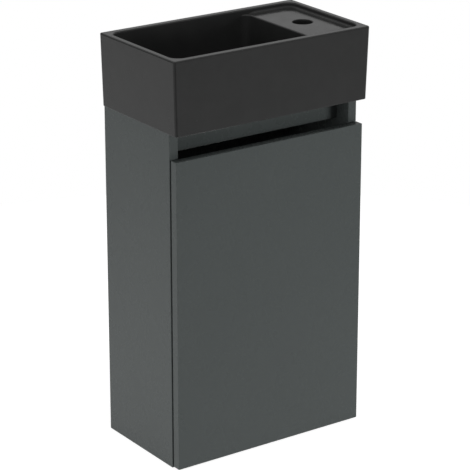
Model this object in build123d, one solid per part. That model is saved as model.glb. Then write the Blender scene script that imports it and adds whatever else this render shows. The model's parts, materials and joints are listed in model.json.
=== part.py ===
from build123d import *
import math
import os

# Wall-hung cloakroom vanity unit: a black ceramic basin on a one-door cabinet.
# Millimetres. +Z is up, -Y is the front, and the back faces lie on one wall plane.
# The origin is in the middle of the footprint, level with the cabinet's underside.

# Basin, outside
basin_width = 400.0
basin_depth = 227.0
basin_height = 129.0
basin_side_taper = 3.8
basin_front_taper = 1.8
basin_corner_radius = 4.5
basin_back_corner_radius = 2.8
basin_rim_edge_radius = 2.6
basin_foot_edge_radius = 1.2

# Basin, bowl and tap deck
rim_side = 11.5
rim_front = 14.0
rim_back = 14.0
bowl_corner_radius = 18.0
bowl_depth = 96.0
bowl_draft = 6.0
bowl_floor_edge_radius = 13.0
deck_width = 95.5
deck_drop = 8.3
deck_corner_radius = 14.0
deck_edge_radius = 2.5
tap_hole_radius = 17.5
tap_hole_edge_radius = 1.5
dish_radius = 70.0
dish_drop = 2.5

# Basin, underside
basin_shell = 11.0
sole_thickness = 12.0
deck_thickness = 11.0
bowl_floor_thickness = 10.0
boss_radius = 38.0
boss_height = 8.0
drain_hole_radius = 23.0

# Basin waste
waste_flange_radius = 31.5
waste_flange_thickness = 3.0
waste_seat_depth = 3.0
waste_seat_clearance = 1.0
waste_neck_radius = 22.2
waste_tail_radius = 20.95
waste_tail_length = 62.0
waste_bore_radius = 18.0
waste_slot_width = 4.0
waste_slot_count = 5
waste_slot_pitch = 7.0
waste_grate_thickness = 3.0
waste_relief_length = 2.0
waste_relief_depth = 0.8
seal_top_thickness = 1.5
seal_bottom_thickness = 3.5
seal_bottom_radius = 32.0
seal_bore_clearance = 0.1
nut_radius = 30.0
nut_height = 12.0
nut_lug_count = 6
nut_lug_radius = 4.0

# Cabinet boards
carcass_width = 387.0
carcass_depth = 200.5
carcass_height = 602.0
board = 17.0
board_edge_radius = 0.8
front_rail_height = 44.2
front_rail_setback = 32.5
rear_rail_height = 90.0
rear_rail_gap = 18.0
back_panel_thickness = 6.0
back_panel_gap = 21.0
groove_depth = 6.0
groove_clearance = 0.3
cutout_width = 220.0
cutout_height = 170.0
cutout_bottom = 280.0
cutout_corner_radius = 20.0

# Shelf and its pins
shelf_thickness = 16.0
shelf_underside = 242.0
shelf_side_clearance = 1.0
shelf_back_clearance = 2.0
shelf_setback = 16.0
shelf_pin_inset = 28.0
shelf_pin_radius = 2.45
shelf_pin_hole_radius = 2.5
shelf_pin_hole_depth = 10.0
shelf_pin_shaft = 8.0
shelf_nib_radius = 3.5
shelf_nib_length = 9.0
shelf_nib_flat = 2.0
pin_hole_pitch = 32.0
pin_hole_rows = 3

# Board joints: dowels, eccentric locks and their bolts
dowel_radius = 4.0
dowel_length = 30.0
dowel_in_side = 12.0
dowel_clearance = 0.05
dowel_chamfer = 1.0
cam_radius = 7.5
cam_height = 12.5
cam_setback = 24.0
cam_recess = 0.3
cam_clearance = 0.1
cam_channel_radius = 3.9
cam_slot_width = 1.6
cam_slot_depth = 1.5
bolt_shank_radius = 3.0
bolt_thread_radius = 2.5
bolt_head_radius = 3.4
bolt_head_length = 3.0
bolt_in_side = 11.0
bolt_bore_radius = 4.0
joint_edge_inset = 45.0
joint_pitch = 32.0
front_rail_cam_rise = 9.0
front_rail_dowel_drop = 12.0

# Wall fixing: two interlocking bent strips
strip_thickness = 2.0
wall_cleat_length = 300.0
hanging_cleat_length = 280.0
cleat_base_height = 30.0
cleat_lip_height = 12.0
cleat_lip_offset = 9.0
cleat_play = 1.0
cleat_top_inset = 17.0
wall_hole_radius = 4.0
wall_hole_spacing = 260.0
cleat_screw_spacing = 80.0
cleat_screw_count = 4

# Screws
screw_radius = 1.75
screw_head_radius = 3.6
screw_head_height = 1.9
screw_head_edge_radius = 1.1
screw_length = 12.0

# Door
door_side_gap = 1.0
door_thickness = 16.0
door_gap = 2.8
door_top_drop = 45.0
door_bottom_rise = 2.4
door_edge_radius = 0.8
bumper_radius = 4.5
bumper_thickness = 2.5
bumper_edge_radius = 1.5
bumper_inset = 30.0

# Concealed hinges, on the right-hand side panel
hinge_end_inset = 90.0
cup_radius = 17.5
cup_depth = 11.5
cup_wall = 1.0
cup_edge_distance = 5.0
cup_fit = 0.05
cup_flange_thickness = 1.0
cup_flange_radius = 18.5
cup_screw_spacing = 48.0
cup_screw_offset = 6.0
cup_ear_width = 10.0
cup_ear_radius = 4.9
cup_ear_overhang = 5.0
pin_radius = 1.25
pin_clearance = 0.05
eye_radius = 2.3
link_thickness = 2.5
link_width = 9.0
arm_pivot_rise = 16.5
arm_pivot_back = 5.0
cup_pivot_offset = 12.9
cup_pivot_depth = 2.6
link_knee_offset = 7.7
link_knee_depth = 5.55
arm_width = 13.0
arm_sheet = 1.2
arm_web = 1.5
arm_nose_height = 21.0
arm_rear_height = 9.5
arm_skirt_height = 3.0
arm_lip_reach = 4.0
arm_front_back = 1.8
arm_ramp_start = 12.0
arm_ramp_end = 24.0
arm_rear_end = 58.0
plate_block_width = 9.8
plate_block_front = 20.0
plate_block_rear = 56.0
plate_wing_length = 44.0
plate_wing_width = 14.0
plate_wing_thickness = 2.0
plate_screw_setback = 37.0
plate_screw_spacing = 32.0
adjuster_radius = 2.0
adjuster_clearance = 0.1
adjuster_head_radius = 3.2
adjuster_head_height = 1.6
adjuster_depth = 6.0
adjuster_front_setback = 30.0
adjuster_rear_setback = 48.0

# Reach of a search for edges at a known place
position_tolerance = 0.01

# Places worked out from the sizes above
wall_y = basin_depth / 2
front_y = wall_y - carcass_depth
side_inner_x = carcass_width / 2 - board
basin_top = carcass_height + basin_height
deck_level = basin_top - deck_drop
bowl_floor_level = basin_top - bowl_depth
bowl_left_x = -basin_width / 2 + rim_side
bowl_right_x = basin_width / 2 - rim_side - deck_width
bowl_front_y = wall_y - basin_depth + rim_front
bowl_back_y = wall_y - rim_back
drain_x = (bowl_left_x + bowl_right_x) / 2
drain_y = (bowl_front_y + bowl_back_y) / 2
tap_x = bowl_right_x + deck_width / 2
tap_y = drain_y
seat_level = bowl_floor_level - dish_drop - waste_seat_depth
boss_level = bowl_floor_level - bowl_floor_thickness - boss_height
shelf_back_y = wall_y - back_panel_gap - back_panel_thickness - shelf_back_clearance
shelf_front_y = front_y + shelf_setback
front_rail_mid_y = front_y + front_rail_setback + board / 2
front_rail_mid_z = carcass_height - front_rail_height / 2
rear_rail_mid_y = wall_y - rear_rail_gap - board / 2
rear_rail_mid_z = carcass_height - rear_rail_height / 2
door_width = carcass_width - 2 * door_side_gap
door_back_y = front_y - door_gap
door_front_y = door_back_y - door_thickness
door_bottom = door_bottom_rise
door_top = carcass_height - door_top_drop
hinge_heights = {"upper": door_top - hinge_end_inset, "lower": door_bottom + hinge_end_inset}
cup_inward = door_side_gap + cup_edge_distance + cup_radius
arm_pivot = (board + arm_pivot_rise, -arm_pivot_back)
cup_pivot = (cup_inward - cup_pivot_offset, door_gap + cup_pivot_depth)
link_knee = (cup_inward - link_knee_offset, door_gap + link_knee_depth)
adjuster_setbacks = (adjuster_front_setback, adjuster_rear_setback)


def block(x0, x1, y0, y1, z0, z1):
    """A box between two corners."""
    return Pos((x0 + x1) / 2, (y0 + y1) / 2, (z0 + z1) / 2) * Box(x1 - x0, y1 - y0, z1 - z0)


def rod(start, direction, radius, length):
    """A cylinder from a start point along a direction."""
    plane = Plane(origin=start, z_dir=direction)
    return plane * Cylinder(radius, length, align=(Align.CENTER, Align.CENTER, Align.MIN))


def rounded_board(x0, x1, y0, y1, z0, z1, radius=board_edge_radius):
    """A board with every edge slightly rounded."""
    board_box = block(x0, x1, y0, y1, z0, z1)
    return fillet(board_box.edges(), radius)


def edges_at(shape, level):
    """The edges whose middle lies at one level."""
    return shape.edges().filter_by_position(Axis.Z, level - position_tolerance, level + position_tolerance)


def save(shape, name):
    """Write one node; several pieces in a list stay separate solids."""
    if isinstance(shape, list):
        shape = Compound(children=[piece.solid() for piece in shape])
    export_step(shape, os.path.join("parts", name + ".step"))


# Basin

def basin_outline(level, side_inset, front_inset):
    """The basin's plan at one level, flush with the wall at the back."""
    depth = basin_depth - front_inset
    outline = Rectangle(basin_width - 2 * side_inset, depth)
    outline = fillet(outline.vertices().group_by(Axis.Y)[0], basin_corner_radius)
    outline = fillet(outline.vertices().group_by(Axis.Y)[-1], basin_back_corner_radius)
    return Pos(0, wall_y - depth / 2, level) * outline


def bowl_space():
    """The space inside the rim: the shallow tap deck and the deep bowl."""
    width = basin_width - 2 * rim_side
    depth = bowl_back_y - bowl_front_y
    middle_y = (bowl_back_y + bowl_front_y) / 2
    top = Pos(0, middle_y, basin_top) * RectangleRounded(width, depth, bowl_corner_radius)
    floor_radius = bowl_corner_radius - bowl_draft / 2
    floor = RectangleRounded(width - 2 * bowl_draft, depth - 2 * bowl_draft, floor_radius)
    space = loft([Pos(0, middle_y, bowl_floor_level) * floor, top])
    deck_side = width / 2 + rim_side
    under_deck = Polyline(
        (bowl_right_x, deck_level),
        (deck_side, deck_level),
        (deck_side, bowl_floor_level - bowl_depth),
        (bowl_right_x - 2 * bowl_draft, bowl_floor_level - bowl_depth),
        (bowl_right_x - bowl_draft, bowl_floor_level),
        close=True,
    )
    section = Plane.XZ.offset(-wall_y) * make_face(under_deck)
    space = space - extrude(section, basin_depth)
    low = bowl_floor_level + position_tolerance
    below_deck = space.edges().filter_by_position(Axis.Z, low, deck_level - position_tolerance)
    under_deck_corners = below_deck.sort_by(Axis.X)[-2:]
    space = fillet(under_deck_corners, deck_corner_radius)
    floor_edges = space.edges().group_by(Axis.Z)[0]
    space = fillet(floor_edges, bowl_floor_edge_radius)
    bowl_edge = edges_at(space, deck_level).filter_by(Axis.Y).sort_by(Axis.X)[0]
    return fillet(bowl_edge, deck_edge_radius)


def basin_hollow():
    """The open space under the basin, behind the flat sole that rests on the front rail."""
    side = basin_side_taper + basin_shell
    x1 = basin_width / 2 - side
    deck_x = bowl_right_x + basin_shell
    sole_y = front_rail_mid_y
    y0 = wall_y - basin_depth + basin_front_taper + basin_shell
    y1 = wall_y - basin_shell
    bowl_ceiling = bowl_floor_level - bowl_floor_thickness
    deck_ceiling = deck_level - deck_thickness
    low = block(-x1, x1, sole_y, y1, carcass_height, bowl_ceiling)
    high = block(deck_x, x1, sole_y, y1, carcass_height, deck_ceiling)
    over_sole = block(deck_x, x1, y0, sole_y, carcass_height + sole_thickness, deck_ceiling)
    boss = rod((drain_x, drain_y, boss_level), (0, 0, 1), boss_radius, boss_height)
    return low + high + over_sole - boss


def make_basin():
    bottom = basin_outline(carcass_height, basin_side_taper, basin_front_taper)
    top = basin_outline(basin_top, 0, 0)
    body = loft([bottom, top])
    body = fillet(body.edges().group_by(Axis.Z)[0], basin_foot_edge_radius)
    body = body - bowl_space()
    body = fillet(body.edges().group_by(Axis.Z)[-1], basin_rim_edge_radius)
    body = body - basin_hollow()
    tap_hole = rod((tap_x, tap_y, deck_level), (0, 0, -1), tap_hole_radius, deck_thickness)
    body = body - tap_hole
    dish = Pos(drain_x, drain_y, bowl_floor_level - dish_drop) * Cone(
        waste_flange_radius,
        dish_radius,
        dish_drop,
        align=(Align.CENTER, Align.CENTER, Align.MIN),
    )
    seat_radius = waste_flange_radius + waste_seat_clearance
    seat = rod((drain_x, drain_y, seat_level), (0, 0, 1), seat_radius, bowl_depth / 2)
    drain = rod((drain_x, drain_y, boss_level), (0, 0, 1), drain_hole_radius, bowl_depth / 2)
    body = body - dish - seat - drain
    deck_circles = edges_at(body, deck_level).filter_by(GeomType.CIRCLE)
    tap_rim = deck_circles.sort_by_distance((tap_x, tap_y, deck_level))[0]
    return fillet(tap_rim, tap_hole_edge_radius)


# Basin waste

def ring(level, height, outer, inner):
    """A flat ring round the waste."""
    outside = rod((drain_x, drain_y, level), (0, 0, 1), outer, height)
    return outside - rod((drain_x, drain_y, level), (0, 0, 1), inner, height)


def make_waste_body():
    """Flanged, slotted waste with a threaded tail; it has no plug."""
    flange_bottom = seat_level + seal_top_thickness
    tail_bottom = flange_bottom - waste_tail_length
    flange = rod((drain_x, drain_y, flange_bottom), (0, 0, 1), waste_flange_radius, waste_flange_thickness)
    flange = fillet(flange.edges().group_by(Axis.Z)[-1], waste_flange_thickness / 2)
    neck_length = flange_bottom - boss_level
    neck = rod((drain_x, drain_y, flange_bottom), (0, 0, -1), waste_neck_radius, neck_length)
    tail = rod((drain_x, drain_y, tail_bottom), (0, 0, 1), waste_tail_radius, waste_tail_length)
    bore_length = waste_tail_length + waste_flange_thickness - waste_grate_thickness
    bore = rod((drain_x, drain_y, tail_bottom), (0, 0, 1), waste_bore_radius, bore_length)
    relief_level = boss_level - seal_bottom_thickness - nut_height - waste_relief_length
    relief_radius = waste_tail_radius - waste_relief_depth
    relief = ring(relief_level, waste_relief_length, nut_radius, relief_radius)
    body = flange + neck + tail - relief - bore
    for index in range(waste_slot_count):
        offset = (index - (waste_slot_count - 1) / 2) * waste_slot_pitch
        reach = waste_bore_radius - waste_slot_width / 2
        half = math.sqrt(reach ** 2 - offset ** 2)
        slot = SlotOverall(2 * half, waste_slot_width, rotation=90)
        place = Pos(drain_x + offset, drain_y, flange_bottom - waste_grate_thickness)
        body = body - extrude(place * slot, 2 * waste_grate_thickness + waste_flange_thickness)
    return body


def make_waste_nut():
    top = boss_level - seal_bottom_thickness
    nut = ring(top - nut_height, nut_height, nut_radius, waste_tail_radius + seal_bore_clearance)
    for index in range(nut_lug_count):
        angle = 2 * math.pi * index / nut_lug_count
        x = drain_x + nut_radius * math.cos(angle)
        y = drain_y + nut_radius * math.sin(angle)
        nut = nut + rod((x, y, top - nut_height), (0, 0, 1), nut_lug_radius, nut_height)
    return nut


# Cabinet boards

def bolt_places():
    """Depth and height of the lock bolts: two in the bottom panel, then one in each rail."""
    return [
        (front_y + joint_edge_inset, board / 2),
        (wall_y - joint_edge_inset, board / 2),
        (front_rail_mid_y, front_rail_mid_z + front_rail_cam_rise),
        (rear_rail_mid_y, rear_rail_mid_z),
    ]


def dowel_places():
    """Depth and height of the dowels: bottom panel, front rail, rear rail."""
    return [
        (front_y + joint_edge_inset + joint_pitch, board / 2),
        (wall_y - joint_edge_inset - joint_pitch, board / 2),
        (front_rail_mid_y, front_rail_mid_z - front_rail_dowel_drop),
        (rear_rail_mid_y, rear_rail_mid_z + joint_pitch),
        (rear_rail_mid_y, rear_rail_mid_z - joint_pitch),
    ]


def board_end_bores(bolts, dowels):
    """Bores in the ends of a board between the sides."""
    bores = []
    depth = dowel_length - dowel_in_side + dowel_clearance
    for side in (-1, 1):
        for y, z in bolts:
            bores.append(rod((side * side_inner_x, y, z), (-side, 0, 0), bolt_bore_radius, cam_setback))
        for y, z in dowels:
            start = (side * side_inner_x, y, z)
            bores.append(rod(start, (-side, 0, 0), dowel_radius + dowel_clearance, depth))
    return bores


def cam_seat(y, z, face_direction, radius, height):
    """A pair of cylinders let into one board face, one at each end of the board."""
    seats = []
    for side in (-1, 1):
        x = side * (side_inner_x - cam_setback)
        dx, dy, dz = face_direction
        start = (x, y + dy * board / 2, z + dz * board / 2)
        seats.append(rod(start, (-dx, -dy, -dz), radius, height))
    return seats


def lock_list():
    """Where each lock sits: its bolt's place and the board face that it is let into."""
    down = (0, 0, -1)
    to_back = (0, 1, 0)
    to_front = (0, -1, 0)
    return list(zip(bolt_places(), (down, down, to_back, to_front)))


def cut_lock_seats(shape, locks):
    for (y, z), face in locks:
        for seat in cam_seat(y, z, face, cam_radius + cam_clearance, cam_height + 2 * cam_recess):
            shape = shape - seat
    return shape


def make_side_panel(side):
    """One side panel; side is -1 for the left one and 1 for the right one."""
    inner = side * side_inner_x
    outer = side * carcass_width / 2
    panel = rounded_board(min(inner, outer), max(inner, outer), front_y, wall_y, 0, carcass_height)
    groove_y = wall_y - back_panel_gap
    groove_end = inner + side * groove_depth
    panel = panel - block(
        min(inner, groove_end),
        max(inner, groove_end),
        groove_y - back_panel_thickness - groove_clearance,
        groove_y + groove_clearance,
        board - groove_depth,
        carcass_height - rear_rail_height + groove_depth,
    )
    for y, z in bolt_places():
        panel = panel - rod((inner, y, z), (side, 0, 0), bolt_thread_radius, bolt_in_side)
    for y, z in dowel_places():
        depth = dowel_in_side + dowel_clearance
        panel = panel - rod((inner, y, z), (side, 0, 0), dowel_radius + dowel_clearance, depth)
    for y in shelf_pin_rows():
        for index in range(pin_hole_rows):
            z = shelf_pin_height() + (index - (pin_hole_rows - 1) / 2) * pin_hole_pitch
            panel = panel - rod((inner, y, z), (side, 0, 0), shelf_pin_hole_radius, shelf_pin_hole_depth)
    if side > 0:
        for height in hinge_heights.values():
            for seat in plate_screw_places(height):
                depth = plate_wing_thickness + screw_length
                panel = panel - rod(seat, (side, 0, 0), screw_radius, depth)
    return panel


def make_bottom_panel():
    panel = rounded_board(-side_inner_x, side_inner_x, front_y, wall_y, 0, board)
    for bore in board_end_bores(bolt_places()[:2], dowel_places()[:2]):
        panel = panel - bore
    panel = cut_lock_seats(panel, lock_list()[:2])
    groove_y = wall_y - back_panel_gap
    return panel - block(
        -side_inner_x,
        side_inner_x,
        groove_y - back_panel_thickness - groove_clearance,
        groove_y + groove_clearance,
        board - groove_depth,
        board,
    )


def make_front_rail():
    y0 = front_y + front_rail_setback
    bottom = carcass_height - front_rail_height
    rail = rounded_board(-side_inner_x, side_inner_x, y0, y0 + board, bottom, carcass_height)
    for bore in board_end_bores(bolt_places()[2:3], dowel_places()[2:3]):
        rail = rail - bore
    return cut_lock_seats(rail, lock_list()[2:3])


def make_rear_rail():
    y1 = wall_y - rear_rail_gap
    bottom = carcass_height - rear_rail_height
    rail = rounded_board(-side_inner_x, side_inner_x, y1 - board, y1, bottom, carcass_height)
    for bore in board_end_bores(bolt_places()[3:], dowel_places()[3:]):
        rail = rail - bore
    rail = cut_lock_seats(rail, lock_list()[3:])
    groove_y = wall_y - back_panel_gap
    rail = rail - block(
        -side_inner_x,
        side_inner_x,
        groove_y - back_panel_thickness - groove_clearance,
        groove_y + groove_clearance,
        bottom,
        bottom + groove_depth,
    )
    for x, z in cleat_screw_places():
        rail = rail - rod((x, y1, z), (0, -1, 0), screw_radius, screw_length)
    return rail


def make_back_panel():
    """Thin back with one opening for the water and waste pipes."""
    reach = side_inner_x + groove_depth - groove_clearance
    y1 = wall_y - back_panel_gap
    top = carcass_height - rear_rail_height + groove_depth - groove_clearance
    panel = block(-reach, reach, y1 - back_panel_thickness, y1, board - groove_depth, top)
    opening = RectangleRounded(cutout_width, cutout_height, cutout_corner_radius)
    middle = (0, y1, cutout_bottom + cutout_height / 2)
    place = Plane(origin=middle, x_dir=(1, 0, 0), z_dir=(0, -1, 0))
    return panel - extrude(place * opening, back_panel_thickness)


# Shelf

def shelf_pin_rows():
    """Distances of the front and back pin rows, as Y places."""
    return (shelf_front_y + shelf_pin_inset, shelf_back_y - shelf_pin_inset)


def shelf_pin_height():
    return shelf_underside - shelf_nib_flat


def make_shelf():
    reach = side_inner_x - shelf_side_clearance
    top = shelf_underside + shelf_thickness
    return rounded_board(-reach, reach, shelf_front_y, shelf_back_y, shelf_underside, top)


def make_shelf_pins():
    pins = []
    z = shelf_pin_height()
    for side in (-1, 1):
        for y in shelf_pin_rows():
            start = (side * side_inner_x, y, z)
            shaft = rod(start, (side, 0, 0), shelf_pin_radius, shelf_pin_shaft)
            nib = rod(start, (-side, 0, 0), shelf_nib_radius, shelf_nib_length)
            nib = nib - block(
                min(side * side_inner_x, side * (side_inner_x - shelf_nib_length)),
                max(side * side_inner_x, side * (side_inner_x - shelf_nib_length)),
                y - shelf_nib_radius,
                y + shelf_nib_radius,
                shelf_underside,
                shelf_underside + shelf_nib_radius,
            )
            pins.append(shaft + nib)
    return pins


# Dowels, locks and bolts

def make_dowels():
    dowels = []
    for side in (-1, 1):
        for y, z in dowel_places():
            start = (side * (side_inner_x + dowel_in_side), y, z)
            dowel = rod(start, (-side, 0, 0), dowel_radius, dowel_length)
            dowels.append(chamfer(dowel.edges().filter_by(GeomType.CIRCLE), dowel_chamfer))
    return dowels


def bolt_channel(side, y, z, radius, beyond):
    """The way from a board's end through its lock, and a little beyond the middle."""
    start = (side * side_inner_x, y, z)
    return rod(start, (-side, 0, 0), radius, cam_setback + beyond)


def make_cam_locks():
    locks = []
    rise = board / 2 - cam_recess
    for (y, z), face in lock_list():
        dx, dy, dz = face
        sunk = Pos(-dx * cam_recess, -dy * cam_recess, -dz * cam_recess)
        for side, cam in zip((-1, 1), cam_seat(y, z, face, cam_radius, cam_height)):
            cam = sunk * cam
            cam = cam - bolt_channel(side, y, z, cam_channel_radius, bolt_head_length)
            x = side * (side_inner_x - cam_setback)
            face_middle = Plane(origin=(x, y + dy * rise, z + dz * rise), z_dir=(-dx, -dy, -dz))
            slot = Box(
                cam_radius,
                cam_slot_width,
                cam_slot_depth,
                align=(Align.CENTER, Align.CENTER, Align.MIN),
            )
            locks.append(cam - face_middle * slot)
    return locks


def make_cam_bolts():
    made = []
    for side in (-1, 1):
        for y, z in bolt_places():
            face = (side * side_inner_x, y, z)
            thread = rod(face, (side, 0, 0), bolt_thread_radius, bolt_in_side)
            shank = rod(face, (-side, 0, 0), bolt_shank_radius, cam_setback)
            head_start = (side * (side_inner_x - cam_setback + bolt_head_length / 2), y, z)
            head = rod(head_start, (-side, 0, 0), bolt_head_radius, bolt_head_length)
            made.append(thread + shank + head)
    return made


# Wall fixing

def cleat_levels():
    """Heights of the wall strip's foot and of the edge that carries the cabinet."""
    base_top = carcass_height - cleat_top_inset
    web_under = base_top - cleat_base_height - strip_thickness
    wall_foot = web_under - cleat_lip_height - cleat_base_height
    return wall_foot, web_under, base_top


def strip(points, length):
    """A bent strip: an outline of wall distance and height, run along X."""
    outline = Polyline(*[(wall_y - distance, height) for distance, height in points], close=True)
    face = Plane.YZ * make_face(outline)
    return extrude(face, length / 2, both=True)


def make_wall_cleat():
    foot, web_under, base_top = cleat_levels()
    shoulder = foot + cleat_base_height
    far = cleat_lip_offset + strip_thickness
    profile = [
        (0, foot),
        (strip_thickness, foot),
        (strip_thickness, shoulder - strip_thickness),
        (far, shoulder - strip_thickness),
        (far, web_under),
        (cleat_lip_offset, web_under),
        (cleat_lip_offset, shoulder),
        (0, shoulder),
    ]
    cleat = strip(profile, wall_cleat_length)
    for x in (-wall_hole_spacing / 2, wall_hole_spacing / 2):
        hole = rod((x, wall_y, foot + cleat_base_height / 2), (0, -1, 0), wall_hole_radius, strip_thickness)
        cleat = cleat - hole
    return cleat


def cleat_screw_places():
    foot, web_under, base_top = cleat_levels()
    z = (web_under + strip_thickness + base_top) / 2
    first = -cleat_screw_spacing * (cleat_screw_count - 1) / 2
    return [(first + index * cleat_screw_spacing, z) for index in range(cleat_screw_count)]


def make_hanging_cleat():
    foot, web_under, base_top = cleat_levels()
    near = cleat_lip_offset - strip_thickness
    lip_foot = web_under - cleat_lip_height + cleat_play
    back = rear_rail_gap
    profile = [
        (near, lip_foot),
        (cleat_lip_offset, lip_foot),
        (cleat_lip_offset, web_under),
        (back, web_under),
        (back, base_top),
        (back - strip_thickness, base_top),
        (back - strip_thickness, web_under + strip_thickness),
        (near, web_under + strip_thickness),
    ]
    cleat = strip(profile, hanging_cleat_length)
    for x, z in cleat_screw_places():
        hole = rod((x, wall_y - back, z), (0, 1, 0), screw_radius, strip_thickness)
        cleat = cleat - hole
    return cleat


def screw(head_seat, direction):
    """A pan-head screw; direction points from the head into the board."""
    dx, dy, dz = direction
    head = rod(head_seat, (-dx, -dy, -dz), screw_head_radius, screw_head_height)
    far_edge = head.edges().filter_by(GeomType.CIRCLE).sort_by_distance(head_seat)[-1]
    head = fillet(far_edge, screw_head_edge_radius)
    return head + rod(head_seat, direction, screw_radius, screw_length)


def make_cleat_screws():
    y = wall_y - rear_rail_gap + strip_thickness
    return [screw((x, y, z), (0, -1, 0)) for x, z in cleat_screw_places()]


# Door

def make_door_panel():
    half = door_width / 2
    door = rounded_board(-half, half, door_front_y, door_back_y, door_bottom, door_top, door_edge_radius)
    for height in hinge_heights.values():
        cup_middle = hinge_point(cup_inward, door_gap, height)
        door = door - rod(cup_middle, (0, -1, 0), cup_radius + cup_fit, cup_depth + cup_fit)
        for seat in cup_screw_places(height):
            depth = cup_flange_thickness + screw_length
            door = door - rod(seat, (0, -1, 0), screw_radius, depth)
    return door


def make_door_bumpers():
    """Soft buttons on the door's back, over the left side panel's front edge."""
    x = -(carcass_width - board) / 2
    bumpers = []
    for z in (door_top - bumper_inset, door_bottom + bumper_inset):
        button = rod((x, door_back_y, z), (0, 1, 0), bumper_radius, bumper_thickness)
        far_edge = button.edges().filter_by(GeomType.CIRCLE).sort_by(Axis.Y)[-1]
        bumpers.append(fillet(far_edge, bumper_edge_radius))
    return bumpers


# Hinges: inward is measured from the right-hand side panel's outer face,
# forward from its front edge, and height from the cabinet's underside

def hinge_plane(height):
    """A level plane whose local X runs inward and whose local Y runs forward."""
    origin = (carcass_width / 2, front_y, height)
    return Plane(origin=origin, x_dir=(-1, 0, 0), z_dir=(0, 0, 1))


def hinge_point(inward, forward, height):
    return (carcass_width / 2 - inward, front_y - forward, height)


def hinge_block(inward, forward, height, rise):
    """A box round one hinge's height; inward and forward are pairs of distances."""
    x0 = carcass_width / 2 - max(inward)
    x1 = carcass_width / 2 - min(inward)
    return block(x0, x1, front_y - max(forward), front_y - min(forward), height - rise, height + rise)


def plate_screw_places(height):
    places = []
    for rise in (-plate_screw_spacing / 2, plate_screw_spacing / 2):
        places.append(hinge_point(board + plate_wing_thickness, -plate_screw_setback, height + rise))
    return places


def cup_screw_places(height):
    places = []
    for rise in (-cup_screw_spacing / 2, cup_screw_spacing / 2):
        forward = door_gap - cup_flange_thickness
        places.append(hinge_point(cup_inward + cup_screw_offset, forward, height + rise))
    return places


def bar_between(start, end, width):
    """A flat bar with round ends, drawn between two points."""
    length = math.dist(start, end)
    angle = math.degrees(math.atan2(end[1] - start[1], end[0] - start[0]))
    middle = Pos((start[0] + end[0]) / 2, (start[1] + end[1]) / 2)
    return middle * Rot(0, 0, angle) * SlotCenterToCenter(length, width)


def make_hinge_link(height):
    """The cranked link between the arm's pin and the cup's pin."""
    outline = bar_between(cup_pivot, link_knee, link_thickness)
    outline = outline + bar_between(link_knee, arm_pivot, link_thickness)
    for x, y in (cup_pivot, arm_pivot):
        outline = outline + Pos(x, y) * Circle(eye_radius)
    for x, y in (cup_pivot, arm_pivot):
        outline = outline - Pos(x, y) * Circle(pin_radius + pin_clearance)
    return extrude(hinge_plane(height) * outline, link_width / 2, both=True)


def make_hinge_arm(height):
    """A stepped channel that sits over the mounting plate and holds the link."""
    nose = board + arm_nose_height
    rear = board + arm_rear_height
    skirt = board + arm_skirt_height
    lip = board + arm_pivot_rise - arm_lip_reach
    outer = Polyline(
        (skirt, -arm_rear_end),
        (rear, -arm_rear_end),
        (rear, -arm_ramp_end),
        (nose, -arm_ramp_start),
        (nose, -arm_front_back),
        (lip, -arm_front_back),
        (lip, -arm_pivot_back - eye_radius),
        (skirt, -arm_pivot_back - eye_radius - (lip - skirt)),
        close=True,
    )
    inner = Polyline(
        (board, -arm_rear_end - arm_web),
        (rear - arm_web, -arm_rear_end - arm_web),
        (rear - arm_web, -arm_ramp_end),
        (nose - arm_web, -arm_ramp_start),
        (nose - arm_web, 0),
        (board, 0),
        close=True,
    )
    plane = hinge_plane(height)
    arm = extrude(plane * make_face(outer), arm_width / 2, both=True)
    arm = arm - extrude(plane * make_face(inner), arm_width / 2 - arm_sheet, both=True)
    arm = arm - make_arm_pin(height)
    for setback in adjuster_setbacks:
        start = hinge_point(rear, -setback, height)
        arm = arm - rod(start, (1, 0, 0), adjuster_radius + adjuster_clearance, 2 * arm_web)
    return arm


def make_arm_pin(height):
    inward, forward = arm_pivot
    foot = hinge_point(inward, forward, height - arm_width / 2)
    return rod(foot, (0, 0, 1), pin_radius, arm_width)


def make_hinge_plate(height):
    """The mounting plate: a block under the arm, with a screwed wing above and below."""
    top = board + arm_rear_height - arm_web
    block_span = (-plate_block_rear, -plate_block_front)
    plate = hinge_block((board, top), block_span, height, plate_block_width / 2)
    wing_span = (-plate_screw_setback - plate_wing_width / 2, -plate_screw_setback + plate_wing_width / 2)
    wing_faces = (board, board + plate_wing_thickness)
    plate = plate + hinge_block(wing_faces, wing_span, height, plate_wing_length / 2)
    for seat in plate_screw_places(height):
        plate = plate - rod(seat, (1, 0, 0), screw_radius, plate_wing_thickness)
    for setback in adjuster_setbacks:
        start = hinge_point(top, -setback, height)
        plate = plate - rod(start, (1, 0, 0), adjuster_radius, adjuster_depth)
    return plate


def make_adjusters():
    """The two screws of each hinge that clamp and set its arm."""
    screws = []
    rear = board + arm_rear_height
    for height in hinge_heights.values():
        for setback in adjuster_setbacks:
            seat = hinge_point(rear, -setback, height)
            head = rod(seat, (-1, 0, 0), adjuster_head_radius, adjuster_head_height)
            shank = rod(seat, (1, 0, 0), adjuster_radius, arm_web + adjuster_depth)
            screws.append(head + shank)
    return screws


def cup_plane(height):
    """The door's back face at a cup; local X runs inward, local Z into the door."""
    origin = hinge_point(cup_inward, door_gap, height)
    return Plane(origin=origin, x_dir=(-1, 0, 0), z_dir=(0, -1, 0))


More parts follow.
